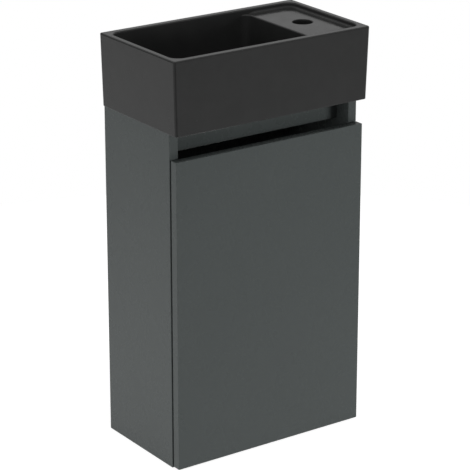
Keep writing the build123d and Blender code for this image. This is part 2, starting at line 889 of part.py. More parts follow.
def make_hinge_cup(height):
    """The pressed cup in the door, with its flange and the two screw ears."""
    plane = cup_plane(height)
    bottom = (Align.CENTER, Align.CENTER, Align.MIN)
    cup = plane * Cylinder(cup_radius, cup_depth, align=bottom)
    ear_length = cup_screw_spacing + 2 * cup_ear_overhang
    ears = Pos(cup_screw_offset, 0) * RectangleRounded(cup_ear_width, ear_length, cup_ear_radius)
    flange = Circle(cup_flange_radius) + ears
    cup = cup + extrude(plane * flange, -cup_flange_thickness)
    mouth = plane.offset(-cup_flange_thickness)
    pocket_depth = cup_flange_thickness + cup_depth - cup_wall
    cup = cup - mouth * Cylinder(cup_radius - cup_wall, pocket_depth, align=bottom)
    for seat in cup_screw_places(height):
        cup = cup - rod(seat, (0, -1, 0), screw_radius, cup_flange_thickness)
    return cup - make_cup_pin(height)


def make_cup_pin(height):
    """The pin across the cup that carries the link's far eye."""
    inward, forward = cup_pivot
    half = math.sqrt((cup_radius - cup_wall / 2) ** 2 - (cup_pivot_offset + pin_radius) ** 2)
    foot = hinge_point(inward, forward, height - half)
    return rod(foot, (0, 0, 1), pin_radius, 2 * half)


def make_screws_at(places_for, direction):
    """A screw at each place that both hinges give."""
    screws = []
    for height in hinge_heights.values():
        for place in places_for(height):
            screws.append(screw(place, direction))
    return screws


def main():
    os.makedirs("parts", exist_ok=True)
    save(make_basin(), "basin")
    neck_bore = waste_neck_radius + seal_bore_clearance
    save(make_waste_body(), "waste_body")
    save(ring(seat_level, seal_top_thickness, waste_flange_radius, neck_bore), "waste_seal_top")
    seal_level = boss_level - seal_bottom_thickness
    tail_bore = waste_tail_radius + seal_bore_clearance
    save(ring(seal_level, seal_bottom_thickness, seal_bottom_radius, tail_bore), "waste_seal_bottom")
    save(make_waste_nut(), "waste_nut")
    save(make_side_panel(-1), "side_panel_left")
    save(make_side_panel(1), "side_panel_right")
    save(make_bottom_panel(), "bottom_panel")
    save(make_front_rail(), "front_rail")
    save(make_rear_rail(), "rear_rail")
    save(make_back_panel(), "back_panel")
    save(make_shelf(), "shelf")
    save(make_shelf_pins(), "shelf_pins")
    save(make_dowels(), "dowels")
    save(make_cam_locks(), "cam_locks")
    save(make_cam_bolts(), "cam_bolts")
    save(make_wall_cleat(), "wall_cleat")
    save(make_hanging_cleat(), "hanging_cleat")
    save(make_cleat_screws(), "cleat_screws")
    save(make_door_panel(), "door_panel")
    save(make_door_bumpers(), "door_bumpers")
    for place, height in hinge_heights.items():
        save(make_hinge_plate(height), "hinge_plate_" + place)
        save(make_hinge_arm(height), "hinge_arm_" + place)
        save(make_arm_pin(height), "hinge_arm_pin_" + place)
        save(make_hinge_link(height), "hinge_link_" + place)
        save(make_hinge_cup(height), "hinge_cup_" + place)
        save(make_cup_pin(height), "hinge_cup_pin_" + place)
    save(make_screws_at(plate_screw_places, (1, 0, 0)), "hinge_plate_screws")
    save(make_screws_at(cup_screw_places, (0, -1, 0)), "hinge_cup_screws")
    save(make_adjusters(), "hinge_adjusters")


main()
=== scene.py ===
# %% [markdown]
# # A cloakroom vanity unit
#
# A slim black basin stands on an anthracite cabinet with one door. The boards,
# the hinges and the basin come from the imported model, at their real size, and
# this lesson gives them their finish. A few pieces are made here, because their
# fine shape is a matter of looks: the screws, which get a cross recess and stand
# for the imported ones, and two additions, the thread of the waste and the soft run
# of glaze where the tap deck meets its walls.
#
# Everything is in metres. +Z is up, the door looks along -Y, and the wall is behind.

# %% Load the frame
import json
import math

import bmesh
import bpy
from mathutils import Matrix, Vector


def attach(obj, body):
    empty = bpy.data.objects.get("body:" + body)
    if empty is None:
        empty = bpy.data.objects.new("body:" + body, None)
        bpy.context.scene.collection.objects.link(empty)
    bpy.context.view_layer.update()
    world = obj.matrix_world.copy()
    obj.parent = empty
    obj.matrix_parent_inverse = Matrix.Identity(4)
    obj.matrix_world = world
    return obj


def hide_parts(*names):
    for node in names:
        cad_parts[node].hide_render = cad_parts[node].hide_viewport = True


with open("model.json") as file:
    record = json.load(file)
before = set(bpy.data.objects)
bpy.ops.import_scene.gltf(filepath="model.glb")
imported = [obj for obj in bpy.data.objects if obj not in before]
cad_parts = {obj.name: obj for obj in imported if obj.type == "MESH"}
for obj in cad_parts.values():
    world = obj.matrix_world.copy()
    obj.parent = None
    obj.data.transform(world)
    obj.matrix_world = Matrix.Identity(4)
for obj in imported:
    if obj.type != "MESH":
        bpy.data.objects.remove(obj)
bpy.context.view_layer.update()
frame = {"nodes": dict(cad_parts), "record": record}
nodes = frame["nodes"]
scene = bpy.context.scene
scene.view_settings.view_transform = "Standard"

# %% [markdown]
# ## The camera
#
# The photograph was taken from the front left and a little above, with a long
# lens, so its upright edges stay nearly parallel. The camera is described the
# way a photographer would: how far round, how far up, how far away, which lens.
# A point of aim on the object keeps the framing when one of them is changed.

# %% Camera
CAMERA_AZIMUTH = math.radians(-34.96)
CAMERA_PITCH = math.radians(19.94)
CAMERA_DISTANCE = 4.0473
CAMERA_AIM = Vector((0.0082, 0.0135, 0.3551))
LENS = 176.92
SENSOR = 36.0


def direction_from(azimuth, pitch):
    """The way from the aim back to the camera."""
    level = math.cos(pitch)
    return Vector((math.sin(azimuth) * level, -math.cos(azimuth) * level, math.sin(pitch)))


back = direction_from(CAMERA_AZIMUTH, CAMERA_PITCH)
camera_data = bpy.data.cameras.new("camera")
camera_data.lens = LENS
camera_data.sensor_width = SENSOR
camera = bpy.data.objects.new("camera", camera_data)
camera.location = CAMERA_AIM + back * CAMERA_DISTANCE
camera.rotation_mode = "QUATERNION"
camera.rotation_quaternion = (-back).to_track_quat("-Z", "Y")
scene.collection.objects.link(camera)
scene.camera = camera
print("camera at", [round(v, 3) for v in camera.location])

# %% [markdown]
# ## Helpers for shader nodes
#
# Every finish below is a small graph of nodes. Three helpers keep the graphs
# readable: one adds a node and sets its inputs, one links two sockets, and one
# opens a node group with named inputs and outputs.

# %% Node helpers
def add(tree, kind, settings=None, **inputs):
    """Add a node; inputs are set or linked by name, with _ for a space."""
    node = tree.nodes.new(kind)
    for key, value in (settings or {}).items():
        setattr(node, key, value)
    for key, value in inputs.items():
        name = key.replace("_", " ")
        fill(tree, node.inputs[name], value)
    return node


def fill(tree, socket, value):
    """Link a socket if the value is one, and set it otherwise."""
    if isinstance(value, bpy.types.NodeSocket):
        tree.links.new(value, socket)
    else:
        socket.default_value = value


def math_node(tree, operation, first, second=0.0):
    """One step of arithmetic on two values; returns the result's socket."""
    node = tree.nodes.new("ShaderNodeMath")
    node.operation = operation
    fill(tree, node.inputs[0], first)
    fill(tree, node.inputs[1], second)
    return node.outputs[0]


def ramp(tree, value, low, high, low_out=0.0, high_out=1.0):
    """A smooth step: below low it gives low_out, above high it gives high_out."""
    node = tree.nodes.new("ShaderNodeMapRange")
    node.interpolation_type = "SMOOTHSTEP"
    for name, number in (
        ("Value", value),
        ("From Min", low),
        ("From Max", high),
        ("To Min", low_out),
        ("To Max", high_out),
    ):
        fill(tree, node.inputs[name], number)
    return node.outputs["Result"]


def group(name, inputs, outputs):
    """A new node group; inputs are (name, kind, default), outputs are (name, kind)."""
    tree = bpy.data.node_groups.new(name, "ShaderNodeTree")
    for label, kind, default in inputs:
        socket = tree.interface.new_socket(label, in_out="INPUT", socket_type=kind)
        socket.default_value = default
    for label, kind in outputs:
        tree.interface.new_socket(label, in_out="OUTPUT", socket_type=kind)
    source = tree.nodes.new("NodeGroupInput").outputs
    target = tree.nodes.new("NodeGroupOutput").inputs
    return tree, source, target


def place(tree, shared, **inputs):
    """Put a shared node group in a material and set its inputs."""
    node = tree.nodes.new("ShaderNodeGroup")
    node.node_tree = shared
    for key, value in inputs.items():
        fill(tree, node.inputs[key.replace("_", " ")], value)
    return node.outputs


def mix_node(tree, kind, share, first, second):
    """A Mix node has a set of sockets for each kind of value; this uses the right one."""
    node = add(tree, "ShaderNodeMix", {"data_type": kind})
    first_at, second_at, result_at = MIX_SOCKETS[kind]
    fill(tree, node.inputs[0], share)
    fill(tree, node.inputs[first_at], first)
    fill(tree, node.inputs[second_at], second)
    return node.outputs[result_at]


MIX_SOCKETS = {"FLOAT": (2, 3, 0), "RGBA": (6, 7, 2)}
FLOAT = "NodeSocketFloat"
VECTOR = "NodeSocketVector"

# %% [markdown]
# ## Floor, surroundings and lamps
#
# The unit was photographed on pure white. A white backdrop could be lit until it
# clips, but that would flood the object too. Here the camera, and anything shiny,
# sees white of strength 1, while matt surfaces are lit at a plain level, so a
# colour renders about as it is written. The floor keeps a faint shadow.
#
# Shiny rounded edges show what stands round the object. The photograph has thin
# dark lines along the basin's rounded edges, which dark surroundings would give,
# but they can't be seen. Here shiny things see a dark band at eye level and a dark
# patch low in front. Where they lie, how dark they are and where the lamps stand
# were fitted by comparing renders with the photograph from its own angle.

# %% The surroundings
DARK_PATCH_WAY = Vector((-0.42, -0.86, -0.28)).normalized()
DARK_PATCH_RIM = 0.80
DARK_PATCH_CORE = 0.955
DARK_PATCH_LEVEL = 0.03
BAND_LOW = (-0.30, -0.19)
BAND_HIGH = (0.14, 0.26)
BAND_LEVEL = 0.03
MATT_LIGHT = 0.18
SKY_LEVEL = 0.68

world = bpy.data.worlds.new("studio")
scene.world = world
world.use_nodes = True
tree = world.node_tree
tree.nodes.clear()


def seen_directly(tree):
    """1 for rays from the camera or from something shiny or clear."""
    path = tree.nodes.new("ShaderNodeLightPath").outputs
    seen = math_node(tree, "ADD", path["Is Camera Ray"], path["Is Glossy Ray"])
    seen = math_node(tree, "ADD", seen, path["Is Transmission Ray"])
    return math_node(tree, "MINIMUM", seen, 1.0), path["Is Camera Ray"]


seen, camera_ray = seen_directly(tree)
way = tree.nodes.new("ShaderNodeTexCoord").outputs["Generated"]
toward = add(tree, "ShaderNodeVectorMath", {"operation": "DOT_PRODUCT"})
fill(tree, toward.inputs[0], way)
toward.inputs[1].default_value = DARK_PATCH_WAY
patch = ramp(
    tree, toward.outputs["Value"], DARK_PATCH_RIM, DARK_PATCH_CORE, 1.0, DARK_PATCH_LEVEL)
way_parts = tree.nodes.new("ShaderNodeSeparateXYZ")
fill(tree, way_parts.inputs[0], way)
below = ramp(tree, way_parts.outputs["Z"], *BAND_LOW, 1.0, BAND_LEVEL)
above = ramp(tree, way_parts.outputs["Z"], *BAND_HIGH, BAND_LEVEL, SKY_LEVEL)
band = math_node(tree, "MAXIMUM", below, above)
reflected = math_node(tree, "MAXIMUM", math_node(tree, "MINIMUM", patch, band), camera_ray)
level = mix_node(tree, "FLOAT", seen, MATT_LIGHT, reflected)
backdrop = add(tree, "ShaderNodeBackground", Color=(1, 1, 1, 1), Strength=level)
output = tree.nodes.new("ShaderNodeOutputWorld")
tree.links.new(backdrop.outputs[0], output.inputs["Surface"])
print("surroundings: 1 seen directly,", MATT_LIGHT, "on matt surfaces")

# %% The floor
FLOOR_RADIUS = 1.3
FLOOR_DROP = 0.0005
FLOOR_SIDES = 96
FLOOR_LIT = 0.8
FLOOR_SHADE = 0.32
FLOOR_GLOW = 0.86

floor_mesh = bpy.data.meshes.new("studio_floor")
work = bmesh.new()
bmesh.ops.create_circle(work, cap_ends=True, segments=FLOOR_SIDES, radius=FLOOR_RADIUS)
bmesh.ops.translate(work, verts=work.verts, vec=(0, 0, -FLOOR_DROP))
work.to_mesh(floor_mesh)
work.free()
floor = bpy.data.objects.new("studio_floor", floor_mesh)
scene.collection.objects.link(floor)

floor_finish = bpy.data.materials.new("studio_floor")
floor_finish.use_nodes = True
tree = floor_finish.node_tree
tree.nodes.clear()
seen, camera_ray = seen_directly(tree)
lit = add(tree, "ShaderNodeBsdfDiffuse", Color=(*[FLOOR_LIT] * 3, 1))
shaded = add(tree, "ShaderNodeBsdfDiffuse", Color=(*[FLOOR_SHADE] * 3, 1))
glow = add(tree, "ShaderNodeEmission", Strength=FLOOR_GLOW)
white = tree.nodes.new("ShaderNodeAddShader")
tree.links.new(shaded.outputs[0], white.inputs[0])
tree.links.new(glow.outputs[0], white.inputs[1])
choice = tree.nodes.new("ShaderNodeMixShader")
fill(tree, choice.inputs[0], seen)
tree.links.new(lit.outputs[0], choice.inputs[1])
tree.links.new(white.outputs[0], choice.inputs[2])
output = tree.nodes.new("ShaderNodeOutputMaterial")
tree.links.new(choice.outputs[0], output.inputs["Surface"])
floor_mesh.materials.append(floor_finish)
print("floor radius", FLOOR_RADIUS, "m")

# %% The lamps
LAMP_AIM = Vector((0.0, 0.0, 0.36))
LAMPS = {
    "key_left": ((-3.0, -0.5, 0.7), 1.8, 62.0),
    "front_fill": ((1.7, -2.9, 0.72), 1.3, 76.0),
    "top_soft": ((-0.1, -0.45, 2.9), 1.0, 40.0),
    "back_soft": ((2.2, 2.6, 0.9), 1.8, 46.0),
}

for name, (place_at, size, power) in LAMPS.items():
    lamp = bpy.data.lights.new(name, "AREA")
    lamp.shape = "DISK"
    lamp.size = size
    lamp.energy = power
    holder = bpy.data.objects.new(name, lamp)
    holder.location = place_at
    holder.rotation_mode = "QUATERNION"
    holder.rotation_quaternion = (LAMP_AIM - Vector(place_at)).to_track_quat("-Z", "Y")
    holder.visible_glossy = False
    scene.collection.objects.link(holder)
print("lamps", list(LAMPS))

# %% [markdown]
# ## Effects that several finishes share
#
# Glaze, lacquer and plated steel have little in common, but what makes each look
# real is the same: its surface is never quite even, its edges wear first, dust
# lies on what faces up, and handling leaves marks. Each of these is one node
# group, made once, and every material uses it with its own values. A group gives
# masks and heights only. What they do to the colour is the material's business.

# %% Relief and patches groups
PATCH_THRESHOLD = 0.72
PATCH_SPAN = 0.44


def make_relief():
    """Two sizes of soft unevenness, as a height from about 0 to 1."""
    tree, given, out = group(
        "surface_relief",
        (("Position", VECTOR, (0, 0, 0)), ("Broad Scale", FLOAT, 60.0),
         ("Fine Scale", FLOAT, 900.0), ("Fine Share", FLOAT, 0.3)),
        (("Height", FLOAT), ("Broad", FLOAT)),
    )
    broad = add(tree, "ShaderNodeTexNoise", Vector=given["Position"], Scale=given["Broad Scale"],
                Detail=2.0, Roughness=0.45)
    fine = add(tree, "ShaderNodeTexNoise", Vector=given["Position"], Scale=given["Fine Scale"],
               Detail=3.0, Roughness=0.55)
    weighed = math_node(tree, "MULTIPLY", fine.outputs["Fac"], given["Fine Share"])
    fill(tree, out["Height"], math_node(tree, "ADD", broad.outputs["Fac"], weighed))
    fill(tree, out["Broad"], broad.outputs["Fac"])
    return tree


def make_patches():
    """Soft-edged patches, as a mask; Cover is about the share that is covered."""
    tree, given, out = group(
        "patches",
        (("Position", VECTOR, (0, 0, 0)), ("Scale", FLOAT, 12.0), ("Cover", FLOAT, 0.4),
         ("Softness", FLOAT, 0.12)),
        (("Mask", FLOAT),),
    )
    cloud = add(tree, "ShaderNodeTexNoise", Vector=given["Position"], Scale=given["Scale"],
                Detail=6.0, Roughness=0.6, Distortion=0.4)
    covered = math_node(tree, "MULTIPLY", given["Cover"], PATCH_SPAN)
    middle = math_node(tree, "SUBTRACT", PATCH_THRESHOLD, covered)
    low = math_node(tree, "SUBTRACT", middle, given["Softness"])
    high = math_node(tree, "ADD", middle, given["Softness"])
    fill(tree, out["Mask"], ramp(tree, cloud.outputs["Fac"], low, high))
    return tree


surface_relief = make_relief()
patches = make_patches()
print("groups", surface_relief.name, patches.name)

# %% Edge wear and dust groups
EDGE_AGREEMENT = (0.985, 0.82)
WEAR_BREAKS = (0.42, 0.62)
DUST_SLOPE = (0.75, 0.98)
DUST_SPECKS = (0.52, 0.72)
DUST_DRIFT = (0.35, 0.70)


def make_edge_wear():
    """Rubbed edges: where the rounded normal leaves the true one, broken by noise."""
    tree, given, out = group(
        "edge_wear",
        (("Position", VECTOR, (0, 0, 0)), ("Width", FLOAT, 0.0012), ("Break Up", FLOAT, 60.0)),
        (("Mask", FLOAT),),
    )
    rounded = add(tree, "ShaderNodeBevel", {"samples": 4}, Radius=given["Width"])
    true_way = tree.nodes.new("ShaderNodeNewGeometry").outputs["True Normal"]
    agree = add(tree, "ShaderNodeVectorMath", {"operation": "DOT_PRODUCT"})
    fill(tree, agree.inputs[0], rounded.outputs["Normal"])
    fill(tree, agree.inputs[1], true_way)
    edge = ramp(tree, agree.outputs["Value"], *EDGE_AGREEMENT)
    noise = add(tree, "ShaderNodeTexNoise", Vector=given["Position"], Scale=given["Break Up"],
                Detail=5.0, Roughness=0.65)
    broken = ramp(tree, noise.outputs["Fac"], *WEAR_BREAKS)
    fill(tree, out["Mask"], math_node(tree, "MULTIPLY", edge, broken))
    return tree


def make_dust():
    """Dust that lies on what faces up, thicker in some places."""
    tree, given, out = group(
        "settled_dust",
        (("Position", VECTOR, (0, 0, 0)), ("Grain Scale", FLOAT, 1400.0)),
        (("Mask", FLOAT),),
    )
    faces = tree.nodes.new("ShaderNodeNewGeometry").outputs["Normal"]
    parts = tree.nodes.new("ShaderNodeSeparateXYZ")
    fill(tree, parts.inputs[0], faces)
    up = ramp(tree, parts.outputs["Z"], *DUST_SLOPE)
    grain = add(tree, "ShaderNodeTexNoise", Vector=given["Position"], Scale=given["Grain Scale"],
                Detail=2.0)
    cloud = add(tree, "ShaderNodeTexNoise", Vector=given["Position"], Scale=14.0, Detail=4.0)
    specks = ramp(tree, grain.outputs["Fac"], *DUST_SPECKS)
    drift = ramp(tree, cloud.outputs["Fac"], *DUST_DRIFT)
    lying = math_node(tree, "MULTIPLY", specks, drift)
    fill(tree, out["Mask"], math_node(tree, "MULTIPLY", up, lying))
    return tree


edge_wear = make_edge_wear()
settled_dust = make_dust()
print("groups", edge_wear.name, settled_dust.name)

# %% Fine scratches group
SCRATCH_TURNS = (0.3, 1.25, 2.4)
SCRATCH_AXIS = (0.35, 0.9, 0.25)
SCRATCH_EDGE = (0.66, 0.74)


def make_scratches():
    """Hair-fine lines in a few directions, as a mask."""
    tree, given, out = group(
        "fine_scratches",
        (("Position", VECTOR, (0, 0, 0)), ("Scale", FLOAT, 240.0), ("Stretch", FLOAT, 0.04)),
        (("Mask", FLOAT),),
    )
    total = None
    for turn in SCRATCH_TURNS:
        turned = add(tree, "ShaderNodeVectorRotate", {"rotation_type": "AXIS_ANGLE"},
                     Vector=given["Position"], Angle=turn)
        turned.inputs["Axis"].default_value = SCRATCH_AXIS
        scaled = add(tree, "ShaderNodeCombineXYZ", X=1.0, Y=1.0, Z=given["Stretch"])
        thin = add(tree, "ShaderNodeVectorMath", {"operation": "MULTIPLY"})
        fill(tree, thin.inputs[0], turned.outputs[0])
        fill(tree, thin.inputs[1], scaled.outputs[0])
        line = add(tree, "ShaderNodeTexNoise", Vector=thin.outputs[0], Scale=given["Scale"],
                   Detail=1.0, Roughness=0.4)
        mask = ramp(tree, line.outputs["Fac"], *SCRATCH_EDGE)
        total = mask if total is None else math_node(tree, "MAXIMUM", total, mask)
    fill(tree, out["Mask"], total)
    return tree


fine_scratches = make_scratches()
print("group", fine_scratches.name)

# %% [markdown]
# ## Starting a material
#
# Each finish begins in the same way: a Principled shader, and the position on the
# object in metres. Object coordinates stay fixed to the piece when the door
# swings, and they need no unwrapping, so a pattern keeps its real size on every
# board. Two more helpers mix colours and numbers by a mask.

# %% Material helpers
def start(name, **values):
    """A material with a Principled shader; returns it, its tree, shader and position."""
    material = bpy.data.materials.new(name)
    material.use_nodes = True
    tree = material.node_tree
    shader = tree.nodes["Principled BSDF"]
    for key, value in values.items():
        shader.inputs[key.replace("_", " ")].default_value = value
    position = tree.nodes.new("ShaderNodeTexCoord").outputs["Object"]
    return material, tree, shader, position


def colour(value):
    """Three numbers become a colour; a socket is passed on."""
    return value if isinstance(value, bpy.types.NodeSocket) else (*value, 1.0)


def blend_colour(tree, mask, first, second):
    """From the first colour to the second as the mask goes from 0 to 1."""
    return mix_node(tree, "RGBA", mask, colour(first), colour(second))


def lay_over(tree, mask, amount, below, above):
    """Lay one colour over another where the mask is 1, and only as thick as amount."""
    return blend_colour(tree, math_node(tree, "MULTIPLY", mask, amount), below, above)


def blend_value(tree, mask, first, second):
    """From the first number to the second as the mask goes from 0 to 1."""
    return ramp(tree, mask, 0.0, 1.0, first, second)


def raise_by(tree, shader, height, distance, strength=1.0):
    """Feed a height to the shader's normal; distance is the real height in metres."""
    bump = add(tree, "ShaderNodeBump", Height=height, Distance=distance, Strength=strength)
    tree.links.new(bump.outputs["Normal"], shader.inputs["Normal"])


print("material helpers ready")

# %% [markdown]
# ## Black glaze
#
# The basin is fired clay under a satin black glaze. Glaze is glass: nearly all the
# light that it gives back is reflection, so the colour is almost black and the
# finish decides the look. It ripples a little, because it ran while it melted, it
# thins out and turns warmer on sharp edges, and hard water leaves slightly duller
# spots where drops dried.

# %% Black glaze
GLAZE_DEEP = (0.0172, 0.0175, 0.0174)
GLAZE_CLOUD = (0.0198, 0.0201, 0.0199)
GLAZE_THIN = (0.026, 0.023, 0.020)
GLAZE_DUST = (0.30, 0.29, 0.28)
GLAZE_ROUGHNESS = (0.12, 0.16)
GLAZE_RIPPLE = 0.00018
DROP_EDGE = (0.16, 0.10)
DROP_DULLING = 0.16


def make_black_glaze():
    material, tree, shader, position = start("black_glaze", Specular_IOR_Level=0.165)
    relief = place(tree, surface_relief, Position=position, Broad_Scale=38.0,
                   Fine_Scale=1500.0, Fine_Share=0.16)
    clouds = place(tree, patches, Position=position, Scale=26.0, Cover=0.5, Softness=0.2)
    thin = place(tree, edge_wear, Position=position, Width=0.0016, Break_Up=45.0)
    dust = place(tree, settled_dust, Position=position, Grain_Scale=1900.0)
    body = blend_colour(tree, clouds["Mask"], GLAZE_DEEP, GLAZE_CLOUD)
    edged = lay_over(tree, thin["Mask"], 0.7, body, GLAZE_THIN)
    dusty = lay_over(tree, dust["Mask"], 0.10, edged, GLAZE_DUST)
    fill(tree, shader.inputs["Base Color"], dusty)
    drops = add(tree, "ShaderNodeTexVoronoi", {"feature": "F1"}, Vector=position, Scale=85.0,
                Randomness=1.0)
    spot = ramp(tree, drops.outputs["Distance"], *DROP_EDGE)
    rare = place(tree, patches, Position=position, Scale=9.0, Cover=0.25, Softness=0.05)
    marks = math_node(tree, "MULTIPLY", spot, rare["Mask"])
    satin = blend_value(tree, clouds["Mask"], *GLAZE_ROUGHNESS)
    dulled = math_node(tree, "ADD", satin, math_node(tree, "MULTIPLY", marks, DROP_DULLING))
    fill(tree, shader.inputs["Roughness"], dulled)
    raise_by(tree, shader, relief["Height"], GLAZE_RIPPLE)
    return material


black_glaze = make_black_glaze()
print("made", black_glaze.name)

# %% [markdown]
# ## Anthracite lacquer
#
# The cabinet's boards are sprayed with a satin anthracite lacquer. Sprayed paint
# is never flat: it levels into a fine orange peel. The colour stays even, and a
# very slow drift in it keeps a big board from looking computed. The film is
# thinnest on the arrises, where it rubs to a paler grey first, and hands leave
# slightly glossier, greasy patches.

# %% Anthracite lacquer
LACQUER = (0.0490, 0.0560, 0.0550)
LACQUER_DRIFT = (0.0515, 0.0585, 0.0575)
LACQUER_RUBBED = (0.095, 0.100, 0.098)
LACQUER_DUST = (0.32, 0.31, 0.29)
LACQUER_ROUGHNESS = (0.275, 0.245)
LACQUER_PEEL = 0.000014
SCRATCH_DULLING = 0.05


def make_anthracite_lacquer():
    material, tree, shader, position = start("anthracite_lacquer", Specular_IOR_Level=0.16)
    relief = place(tree, surface_relief, Position=position, Broad_Scale=260.0,
                   Fine_Scale=1100.0, Fine_Share=0.25)
    drift = place(tree, patches, Position=position, Scale=4.5, Cover=0.5, Softness=0.3)
    hands = place(tree, patches, Position=position, Scale=17.0, Cover=0.28, Softness=0.2)
    rubbed = place(tree, edge_wear, Position=position, Width=0.0009, Break_Up=70.0)
    dust = place(tree, settled_dust, Position=position, Grain_Scale=1700.0)
    scratched = place(tree, fine_scratches, Position=position, Scale=150.0, Stretch=0.03)
    body = blend_colour(tree, drift["Mask"], LACQUER, LACQUER_DRIFT)
    edged = lay_over(tree, rubbed["Mask"], 0.45, body, LACQUER_RUBBED)
    dusty = lay_over(tree, dust["Mask"], 0.16, edged, LACQUER_DUST)
    fill(tree, shader.inputs["Base Color"], dusty)
    satin = blend_value(tree, hands["Mask"], *LACQUER_ROUGHNESS)
    lines = math_node(tree, "MULTIPLY", scratched["Mask"], SCRATCH_DULLING)
    fill(tree, shader.inputs["Roughness"], math_node(tree, "ADD", satin, lines))
    raise_by(tree, shader, relief["Height"], LACQUER_PEEL)
    return material


anthracite_lacquer = make_anthracite_lacquer()
print("made", anthracite_lacquer.name)

# %% [markdown]
# ## Back board and beech
#
# The back panel is a thin fibreboard with a printed-paper face: matt, and with
# short pores pressed into it. The dowels are bare beech, pale, with fine growth
# lines along their length and the short dark flecks that mark beech.

# %% Back board and beech
def make_back_board():
    material, tree, shader, position = start("grey_melamine", Specular_IOR_Level=0.35)
    stretched = add(tree, "ShaderNodeVectorMath", {"operation": "MULTIPLY"})
    fill(tree, stretched.inputs[0], position)
    stretched.inputs[1].default_value = (1.0, 1.0, 0.12)
    pores = add(tree, "ShaderNodeTexNoise", Vector=stretched.outputs[0], Scale=900.0, Detail=3.0)
    pressed = ramp(tree, pores.outputs["Fac"], 0.40, 0.60)
    cloudy = place(tree, patches, Position=position, Scale=7.0, Cover=0.5, Softness=0.3)
    base = blend_colour(tree, cloudy["Mask"], (0.078, 0.083, 0.081), (0.094, 0.098, 0.096))
    toned = blend_colour(tree, pressed, (0.058, 0.061, 0.060), base)
    fill(tree, shader.inputs["Base Color"], toned)
    fill(tree, shader.inputs["Roughness"], blend_value(tree, pressed, 0.66, 0.5))
    raise_by(tree, shader, pressed, 0.00004)
    return material


def make_beech():
    material, tree, shader, position = start("bare_beech", Specular_IOR_Level=0.3)
    along = add(tree, "ShaderNodeVectorMath", {"operation": "MULTIPLY"})
    fill(tree, along.inputs[0], position)
    along.inputs[1].default_value = (0.06, 1.0, 1.0)
    rings = add(tree, "ShaderNodeTexNoise", Vector=along.outputs[0], Scale=1500.0, Detail=4.0)
    flecks = add(tree, "ShaderNodeTexVoronoi", Vector=along.outputs[0], Scale=2600.0)
    fleck = ramp(tree, flecks.outputs["Distance"], 0.22, 0.12)
    wood = blend_colour(tree, rings.outputs["Fac"], (0.50, 0.33, 0.19), (0.66, 0.49, 0.32))
    fill(tree, shader.inputs["Base Color"], blend_colour(tree, fleck, wood, (0.36, 0.21, 0.12)))
    fill(tree, shader.inputs["Roughness"], blend_value(tree, rings.outputs["Fac"], 0.72, 0.58))
    raise_by(tree, shader, rings.outputs["Fac"], 0.00005)
    return material


grey_melamine = make_back_board()
bare_beech = make_beech()
print("made", grey_melamine.name, bare_beech.name)

# %% [markdown]
# ## Metals
#
# Four metals are on the unit. The waste is chrome plated and polished. The hinges
# with their screws, the lock bolts and the shelf pins are nickel plated, which
# leaves a warm, soft shine with drawing lines. The wall strips and their screws
# are zinc plated, bluish and finely spangled. The lock cams are cast zinc, dull
# and grainy. None of them can be seen in the photograph, so these finishes are
# what such hardware usually has. One function makes all four: what differs is
# the tone, the gloss and which marks show.

# %% Metals
# Bright tone, dull tone, roughness from and to, cloud scale, relief in metres, scratches.
METALS = {
    "polished_chrome": ((0.80, 0.81, 0.82), (0.70, 0.71, 0.73), (0.06, 0.16), 9.0, 0.00001, 0.5),
    "nickel_plate": ((0.66, 0.64, 0.60), (0.52, 0.50, 0.47), (0.22, 0.36), 30.0, 0.00003, 1.0),
    "zinc_plate": ((0.63, 0.66, 0.70), (0.50, 0.52, 0.54), (0.28, 0.45), 140.0, 0.00003, 0.8),
    "cast_zinc": ((0.52, 0.53, 0.54), (0.38, 0.39, 0.40), (0.42, 0.60), 220.0, 0.00008, 0.5),
}


METAL_WORN = (0.82, 0.82, 0.81)
METAL_SCRATCH_DULLING = 0.12


def make_metal(name, bright, dull, gloss, cloud_scale, height, scratch):
    material, tree, shader, position = start(name, Metallic=1.0)
    clouds = place(tree, patches, Position=position, Scale=cloud_scale, Cover=0.45, Softness=0.18)
    relief = place(tree, surface_relief, Position=position, Broad_Scale=cloud_scale * 6.0,
                   Fine_Scale=4200.0, Fine_Share=0.6)
    lines = place(tree, fine_scratches, Position=position, Scale=700.0, Stretch=0.02)
    rubbed = place(tree, edge_wear, Position=position, Width=0.0005, Break_Up=200.0)
    tone = blend_colour(tree, clouds["Mask"], bright, dull)
    worn = lay_over(tree, rubbed["Mask"], 0.5, tone, METAL_WORN)
    fill(tree, shader.inputs["Base Color"], worn)
    base = blend_value(tree, clouds["Mask"], *gloss)
    marked = math_node(tree, "MULTIPLY", lines["Mask"], METAL_SCRATCH_DULLING * scratch)
    fill(tree, shader.inputs["Roughness"], math_node(tree, "ADD", base, marked))
    raise_by(tree, shader, relief["Height"], height)
    return material


metals = {name: make_metal(name, *values) for name, values in METALS.items()}
print("made", list(metals))

# %% [markdown]
# ## Rubber and plastic
#
# The two seals are black rubber, which is matt and blooms to a greyish haze. The
# door's two bumpers are clear and soft. The backnut is moulded in black plastic,
# whose surface keeps the fine spark-eroded grain of the mould.

# %% Rubber and plastic
def make_rubber():
    material, tree, shader, position = start("black_rubber", Specular_IOR_Level=0.35)
    bloom = place(tree, patches, Position=position, Scale=60.0, Cover=0.5, Softness=0.25)
    relief = place(tree, surface_relief, Position=position, Broad_Scale=500.0,
                   Fine_Scale=3500.0, Fine_Share=0.7)
    fill(tree, shader.inputs["Base Color"],
         blend_colour(tree, bloom["Mask"], (0.022, 0.022, 0.022), (0.045, 0.045, 0.044)))
    fill(tree, shader.inputs["Roughness"], blend_value(tree, bloom["Mask"], 0.62, 0.82))
    raise_by(tree, shader, relief["Height"], 0.00005)
    return material


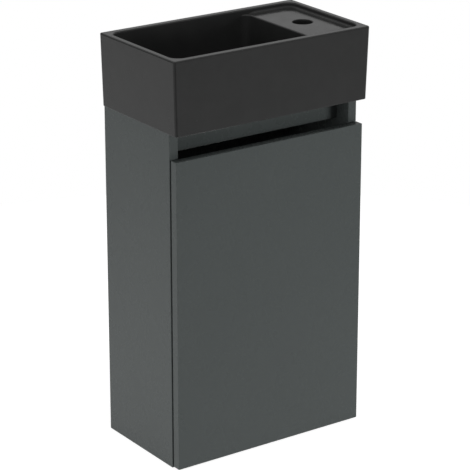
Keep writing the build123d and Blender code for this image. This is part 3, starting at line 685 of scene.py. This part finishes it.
def make_clear_rubber():
    material, tree, shader, position = start("clear_rubber", Transmission_Weight=0.9, IOR=1.45)
    haze = place(tree, patches, Position=position, Scale=300.0, Cover=0.5, Softness=0.3)
    fill(tree, shader.inputs["Base Color"],
         blend_colour(tree, haze["Mask"], (0.86, 0.88, 0.87), (0.76, 0.77, 0.74)))
    fill(tree, shader.inputs["Roughness"], blend_value(tree, haze["Mask"], 0.22, 0.38))
    return material


def make_black_plastic():
    material, tree, shader, position = start("black_plastic", Specular_IOR_Level=0.45)
    relief = place(tree, surface_relief, Position=position, Broad_Scale=1800.0,
                   Fine_Scale=5200.0, Fine_Share=0.8)
    clouds = place(tree, patches, Position=position, Scale=50.0, Cover=0.4, Softness=0.25)
    rubbed = place(tree, edge_wear, Position=position, Width=0.0006, Break_Up=160.0)
    base = blend_colour(tree, clouds["Mask"], (0.024, 0.025, 0.026), (0.034, 0.035, 0.036))
    worn = blend_colour(tree, rubbed["Mask"], base, (0.07, 0.07, 0.07))
    fill(tree, shader.inputs["Base Color"], worn)
    fill(tree, shader.inputs["Roughness"], blend_value(tree, relief["Broad"], 0.40, 0.58))
    raise_by(tree, shader, relief["Height"], 0.00003)
    return material


black_rubber = make_rubber()
clear_rubber = make_clear_rubber()
black_plastic = make_black_plastic()
print("made", black_rubber.name, clear_rubber.name, black_plastic.name)

# %% [markdown]
# ## Dressing the boards, the basin and the hardware
#
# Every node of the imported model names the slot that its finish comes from. Going
# through that list dresses all of them at once, and none can be forgotten.

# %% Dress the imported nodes
FINISHES = {
    "ceramic": black_glaze,
    "lacquered_board": anthracite_lacquer,
    "back_board": grey_melamine,
    "beech": bare_beech,
    "chrome": metals["polished_chrome"],
    "nickel_steel": metals["nickel_plate"],
    "zinc_steel": metals["zinc_plate"],
    "zinc": metals["cast_zinc"],
    "rubber": black_rubber,
    "clear_rubber": clear_rubber,
    "black_plastic": black_plastic,
}

for part in frame["record"]["subparts"]:
    for material_slot in nodes[part["node"]].material_slots:
        material_slot.material = FINISHES[part["material_slot"]]

# %% [markdown]
# ## The glaze run at the foot of the tap deck
#
# Where the deck meets the walls round it, a real casting has a hollow curve of a
# few millimetres, filled out by the glaze. It shades the foot of the walls softly.
# A swept section is the plain way to make it: one hollow curve, carried along the
# front, right and back walls and round the two corners, and buried at the back in
# the casting. It fades out beside the bowl, where deck and walls end.

# %% Glaze run
DECK_LEVEL = 0.7227
DECK_END_X = 0.18798
DECK_HALF_Y = 0.09898
DECK_CORNER = 0.0175
WALL_LEAN = 6.0 / 96.0  # the bowl's walls lean 6 mm over its depth of 96 mm
RUN_RADIUS = 0.0036
RUN_THINNEST = 0.04
RUN_FADE_FROM = 0.0965
RUN_FADE_TO = 0.110
RUN_BURY = 0.0008
RUN_ARC_STEPS = 8
RUN_STRAIGHT_STEPS = 24
RUN_CORNER_STEPS = 12
RUN_SHARP_ABOVE = 40


def run_path():
    """Points of the walls' foot, each with the way into the deck, from front to back."""
    points = []
    straight_end = DECK_END_X - DECK_CORNER
    steps = RUN_STRAIGHT_STEPS
    for step in range(steps):
        x = RUN_FADE_FROM + (straight_end - RUN_FADE_FROM) * step / steps
        points.append((Vector((x, -DECK_HALF_Y)), Vector((0, 1))))
    for centre_y, first in ((-DECK_HALF_Y + DECK_CORNER, -90), (DECK_HALF_Y - DECK_CORNER, 0)):
        for step in range(RUN_CORNER_STEPS + 1):
            angle = math.radians(first + 90 * step / RUN_CORNER_STEPS)
            out = Vector((math.cos(angle), math.sin(angle)))
            points.append((Vector((straight_end, centre_y)) + out * DECK_CORNER, -out))
    for step in range(1, steps + 1):
        x = straight_end + (RUN_FADE_FROM - straight_end) * step / steps
        points.append((Vector((x, DECK_HALF_Y)), Vector((0, -1))))
    return points


def run_section(foot, inward):
    """The hollow curve at one point of the path, from the wall down to the deck."""
    share = min(max((foot.x - RUN_FADE_FROM) / (RUN_FADE_TO - RUN_FADE_FROM), 0.0), 1.0)
    eased = share * share * (3 - 2 * share)
    radius = RUN_RADIUS * (RUN_THINNEST + (1 - RUN_THINNEST) * eased)
    outline = []
    for step in range(RUN_ARC_STEPS + 1):
        angle = math.pi / 2 * step / RUN_ARC_STEPS
        height = radius * (1 - math.sin(angle))
        reach = radius * (1 - math.cos(angle)) - WALL_LEAN * height
        outline.append((reach, height))
    outline.append((radius, -RUN_BURY))
    outline.append((-RUN_BURY, -RUN_BURY))
    outline.append((-RUN_BURY - WALL_LEAN * radius, radius))
    return [
        Vector((*(foot + inward * reach), DECK_LEVEL + height)) for reach, height in outline
    ]


def sweep(name, sections):
    """A closed mesh through sections that have the same number of points."""
    work = bmesh.new()
    rings = [[work.verts.new(point) for point in section] for section in sections]
    count = len(rings[0])
    for near, far in zip(rings, rings[1:]):
        for index in range(count):
            after = (index + 1) % count
            work.faces.new((near[index], near[after], far[after], far[index]))
    work.faces.new(rings[0])
    work.faces.new(rings[-1])
    bmesh.ops.recalc_face_normals(work, faces=work.faces)
    mesh = bpy.data.meshes.new(name)
    work.to_mesh(mesh)
    work.free()
    piece = bpy.data.objects.new(name, mesh)
    scene.collection.objects.link(piece)
    return piece


def smooth(piece, angle):
    """Smooth shading, kept sharp where faces meet at more than an angle in degrees."""
    for face in piece.data.polygons:
        face.use_smooth = True
    piece.data.set_sharp_from_angle(angle=math.radians(angle))


glaze_run = sweep("basin_deck_glaze_run", [run_section(*point) for point in run_path()])
glaze_run.data.materials.append(black_glaze)
smooth(glaze_run, RUN_SHARP_ABOVE)
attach(glaze_run, "cabinet")
print("glaze run", len(glaze_run.data.polygons), "faces")

# %% [markdown]
# ## Screws
#
# Twelve screws hold the hinges and the hanging strip, and four more adjust the
# hinges. They differ in size only, so one Geometry Nodes tree makes them all: it
# domes a cylinder into a pan head, cuts a tapered cross recess, adds the shank,
# and puts one screw on each point of a small mesh. Each is turned by a random
# angle, because nobody drives screws to the same stop. The result is made a
# plain mesh at the end.

# %% Geometry Nodes helpers
def geometry_tree(name, inputs):
    """A Geometry Nodes tree with a geometry input and named inputs after it."""
    tree = bpy.data.node_groups.new(name, "GeometryNodeTree")
    tree.interface.new_socket("Geometry", in_out="INPUT", socket_type="NodeSocketGeometry")
    for label, kind in inputs:
        tree.interface.new_socket(label, in_out="INPUT", socket_type=kind)
    tree.interface.new_socket("Geometry", in_out="OUTPUT", socket_type="NodeSocketGeometry")
    source = tree.nodes.new("NodeGroupInput").outputs
    target = tree.nodes.new("NodeGroupOutput").inputs
    return tree, source, target


def bake_piece(name, points, tree, values):
    """Run a tree on a mesh of points and keep the result as a plain mesh object."""
    seed_mesh = bpy.data.meshes.new(name)
    seed_mesh.from_pydata(points, [], [])
    piece = bpy.data.objects.new(name, seed_mesh)
    scene.collection.objects.link(piece)
    modifier = piece.modifiers.new("build", "NODES")
    modifier.node_group = tree
    for item in tree.interface.items_tree:
        if item.in_out == "INPUT" and item.name in values:
            modifier[item.identifier] = values[item.name]
    depsgraph = bpy.context.evaluated_depsgraph_get()
    built = bpy.data.meshes.new_from_object(piece.evaluated_get(depsgraph), depsgraph=depsgraph)
    piece.modifiers.clear()
    piece.data = built
    built.name = name
    bpy.data.meshes.remove(seed_mesh)
    return piece


def place_by(tree, position_out):
    """Move points to a computed position; returns the node."""
    node = tree.nodes.new("GeometryNodeSetPosition")
    fill(tree, node.inputs["Position"], position_out)
    return node


def combined(tree, x, y, z):
    """Three numbers or sockets as one vector."""
    node = tree.nodes.new("ShaderNodeCombineXYZ")
    for socket, value in zip(node.inputs, (x, y, z)):
        fill(tree, socket, value)
    return node.outputs[0]


def cylinder(tree, sides, rings, fills, radius, depth):
    """A cylinder's mesh, cut into rings so that it can be shaped; returns its socket."""
    node = tree.nodes.new("GeometryNodeMeshCylinder")
    for name, number in (("Vertices", sides), ("Side Segments", rings),
                         ("Fill Segments", fills), ("Radius", radius), ("Depth", depth)):
        fill(tree, node.inputs[name], number)
    return node.outputs["Mesh"]


def place_and_coat(tree, given, out, shape, turn=None):
    """Put a shape on every point, make the copies real, and give them their finish."""
    copies = tree.nodes.new("GeometryNodeInstanceOnPoints")
    tree.links.new(given["Geometry"], copies.inputs["Points"])
    tree.links.new(shape, copies.inputs["Instance"])
    if turn is not None:
        fill(tree, copies.inputs["Rotation"], turn)
    real = tree.nodes.new("GeometryNodeRealizeInstances")
    tree.links.new(copies.outputs[0], real.inputs[0])
    coat = tree.nodes.new("GeometryNodeSetMaterial")
    tree.links.new(real.outputs[0], coat.inputs["Geometry"])
    fill(tree, coat.inputs["Material"], given["Finish"])
    tree.links.new(coat.outputs[0], out["Geometry"])


print("geometry helpers ready")

# %% The screw tree
HEAD_SIDES = 36
HEAD_RINGS = 5
SHANK_SIDES = 20
SHANK_RINGS = 8
DOME_DROP = 0.42
HEAD_TAPER = 0.14
RECESS_REACH = 1.16
RECESS_WIDTH = 0.27
RECESS_DEPTH = 1.5
RECESS_TAPER = 0.55
TIP_FROM = 0.72
TIP_SHARE = 0.25


def make_screw_tree():
    tree, given, out = geometry_tree("cross_head_screws", (
        ("Head Radius", FLOAT), ("Head Height", FLOAT), ("Shank Radius", FLOAT),
        ("Shank Length", FLOAT), ("Turn", "NodeSocketRotation"), ("Seed", "NodeSocketInt"),
        ("Finish", "NodeSocketMaterial")))
    radius, height = given["Head Radius"], given["Head Height"]

    head = cylinder(tree, HEAD_SIDES, HEAD_RINGS, HEAD_RINGS, radius, height)
    here = tree.nodes.new("GeometryNodeInputPosition").outputs[0]
    parts = tree.nodes.new("ShaderNodeSeparateXYZ")
    fill(tree, parts.inputs[0], here)
    across = math_node(tree, "SQRT", math_node(
        tree, "ADD", math_node(tree, "POWER", parts.outputs[0], 2.0),
        math_node(tree, "POWER", parts.outputs[1], 2.0)))
    share = math_node(tree, "DIVIDE", across, radius)
    rise = math_node(tree, "ADD", parts.outputs[2], math_node(tree, "MULTIPLY", height, 0.5))
    climb = math_node(tree, "DIVIDE", rise, height)
    drop = math_node(tree, "SUBTRACT", 1.0, math_node(
        tree, "MULTIPLY", DOME_DROP, math_node(tree, "POWER", share, 3.0)))
    pull = math_node(tree, "SUBTRACT", 1.0, math_node(
        tree, "MULTIPLY", HEAD_TAPER, math_node(tree, "POWER", climb, 2.0)))
    shaped = place_by(tree, combined(
        tree, math_node(tree, "MULTIPLY", parts.outputs[0], pull),
        math_node(tree, "MULTIPLY", parts.outputs[1], pull),
        math_node(tree, "MULTIPLY", rise, drop)))
    tree.links.new(head, shaped.inputs["Geometry"])

    cut = tree.nodes.new("GeometryNodeMeshBoolean")
    cut.operation = "DIFFERENCE"
    tree.links.new(shaped.outputs[0], cut.inputs["Mesh 1"])
    blade = tree.nodes.new("GeometryNodeMeshCube")
    fill(tree, blade.inputs["Size"], combined(
        tree, math_node(tree, "MULTIPLY", radius, RECESS_REACH),
        math_node(tree, "MULTIPLY", radius, RECESS_WIDTH),
        math_node(tree, "MULTIPLY", height, RECESS_DEPTH)))
    low = math_node(tree, "LESS_THAN", parts.outputs[2], 0.0)
    narrow = math_node(tree, "SUBTRACT", 1.0, math_node(tree, "MULTIPLY", low, RECESS_TAPER))
    wedge = place_by(tree, combined(
        tree, math_node(tree, "MULTIPLY", parts.outputs[0], narrow),
        math_node(tree, "MULTIPLY", parts.outputs[1], narrow),
        math_node(tree, "ADD", parts.outputs[2], height)))
    tree.links.new(blade.outputs["Mesh"], wedge.inputs["Geometry"])
    for turn in (0.0, math.pi / 2):
        turned = tree.nodes.new("GeometryNodeTransform")
        tree.links.new(wedge.outputs[0], turned.inputs["Geometry"])
        turned.inputs["Rotation"].default_value = (0.0, 0.0, turn)
        tree.links.new(turned.outputs[0], cut.inputs["Mesh 2"])

    length = given["Shank Length"]
    shank = cylinder(tree, SHANK_SIDES, SHANK_RINGS, 1, given["Shank Radius"], length)
    middle = math_node(tree, "MULTIPLY", length, 0.5)
    depth = math_node(tree, "SUBTRACT", middle, parts.outputs[2])
    along = math_node(tree, "DIVIDE", depth, length)
    tip = ramp(tree, along, TIP_FROM, 1.0, 1.0, TIP_SHARE)
    sunk = place_by(tree, combined(
        tree, math_node(tree, "MULTIPLY", parts.outputs[0], tip),
        math_node(tree, "MULTIPLY", parts.outputs[1], tip),
        math_node(tree, "SUBTRACT", parts.outputs[2], middle)))
    tree.links.new(shank, sunk.inputs["Geometry"])

    whole = tree.nodes.new("GeometryNodeJoinGeometry")
    tree.links.new(cut.outputs["Mesh"], whole.inputs[0])
    tree.links.new(sunk.outputs[0], whole.inputs[0])
    spin = add(tree, "FunctionNodeRandomValue", {"data_type": "FLOAT"})
    spin.inputs[2].default_value = 0.0
    spin.inputs[3].default_value = math.pi / 2
    fill(tree, spin.inputs["Seed"], given["Seed"])
    as_turn = tree.nodes.new("FunctionNodeEulerToRotation")
    fill(tree, as_turn.inputs[0], combined(tree, 0.0, 0.0, spin.outputs[1]))
    both = add(tree, "FunctionNodeRotateRotation", {"rotation_space": "LOCAL"})
    fill(tree, both.inputs[0], given["Turn"])
    fill(tree, both.inputs[1], as_turn.outputs[0])
    place_and_coat(tree, given, out, whole.outputs[0], both.outputs[0])
    return tree


screw_tree = make_screw_tree()
print("screw tree", len(screw_tree.nodes), "nodes")

# %% Place the screws
HINGE_LEVELS = (0.4670, 0.0924)
FACE_LEFT = (0.0, -math.pi / 2, 0.0)
FACE_BACK = (-math.pi / 2, 0.0, 0.0)
PAN = {
    "Head Radius": 0.0036, "Head Height": 0.0019,
    "Shank Radius": 0.00172, "Shank Length": 0.012}
FLAT_PAN = {
    "Head Radius": 0.0032, "Head Height": 0.0016,
    "Shank Radius": 0.00198, "Shank Length": 0.0075}
SCREW_SHARP_ABOVE = 35

SCREWS = {
    "hinge_plate_screws": (
        "cabinet", "nickel_steel", PAN, FACE_LEFT,
        [(0.1745, -0.050, level + side) for level in HINGE_LEVELS for side in (-0.016, 0.016)]),
    "hinge_adjusters": (
        "cabinet", "nickel_steel", FLAT_PAN, FACE_LEFT,
        [(0.1670, y, level) for level in HINGE_LEVELS for y in (-0.057, -0.039)]),
    "cleat_screws": (
        "cabinet", "zinc_steel", PAN, FACE_BACK,
        [(x, 0.0975, 0.570) for x in (-0.120, -0.040, 0.040, 0.120)]),
    "hinge_cup_screws": (
        "door", "nickel_steel", PAN, FACE_BACK,
        [(0.164, -0.0888, level + side) for level in HINGE_LEVELS for side in (-0.024, 0.024)]),
}


for seed, (node, (body, slot, sizes, turn, points)) in enumerate(SCREWS.items()):
    values = dict(sizes, Turn=turn, Seed=seed, Finish=FINISHES[slot])
    piece = bake_piece("cross_" + node, points, screw_tree, values)
    smooth(piece, SCREW_SHARP_ABOVE)
    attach(piece, body)
    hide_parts(node)
    print(piece.name, len(piece.data.polygons), "faces")

# %% [markdown]
# ## The thread of the waste
#
# A bottle trap screws on to the waste's tail, so the tail has a pipe thread. A
# bump texture would vanish against the light, so the ridge is real: a spiral
# curve with a small diamond section carried along it, half of it sunk in the tail.

# %% Waste thread
THREAD_PITCH = 0.002309
THREAD_BOTTOM = 0.5700
THREAD_TOP = 0.6005
TAIL_AXIS = (-0.04775, 0.0)
THREAD_RADIUS = 0.0207
RIDGE_SIZE = 0.00072
RIDGE_SIDES = 4
STEPS_A_TURN = 56
THREAD_SHARP_ABOVE = 30


def make_thread_tree():
    tree, given, out = geometry_tree("pipe_thread", (
        ("Pitch", FLOAT), ("Length", FLOAT), ("Radius", FLOAT), ("Ridge", FLOAT),
        ("Finish", "NodeSocketMaterial")))
    turns = math_node(tree, "DIVIDE", given["Length"], given["Pitch"])
    spiral = tree.nodes.new("GeometryNodeCurveSpiral")
    fill(tree, spiral.inputs["Resolution"], STEPS_A_TURN)
    fill(tree, spiral.inputs["Rotations"], turns)
    fill(tree, spiral.inputs["Start Radius"], given["Radius"])
    fill(tree, spiral.inputs["End Radius"], given["Radius"])
    fill(tree, spiral.inputs["Height"], given["Length"])
    ridge = tree.nodes.new("GeometryNodeCurvePrimitiveCircle")
    fill(tree, ridge.inputs["Resolution"], RIDGE_SIDES)
    fill(tree, ridge.inputs["Radius"], given["Ridge"])
    body = tree.nodes.new("GeometryNodeCurveToMesh")
    tree.links.new(spiral.outputs[0], body.inputs["Curve"])
    tree.links.new(ridge.outputs[0], body.inputs["Profile Curve"])
    body.inputs["Fill Caps"].default_value = True
    place_and_coat(tree, given, out, body.outputs[0])
    return tree


thread = bake_piece("waste_thread", [(*TAIL_AXIS, THREAD_BOTTOM)], make_thread_tree(), {
    "Pitch": THREAD_PITCH, "Length": THREAD_TOP - THREAD_BOTTOM, "Radius": THREAD_RADIUS,
    "Ridge": RIDGE_SIZE, "Finish": FINISHES["chrome"]})
smooth(thread, THREAD_SHARP_ABOVE)
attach(thread, "cabinet")
print("thread", len(thread.data.polygons), "faces")
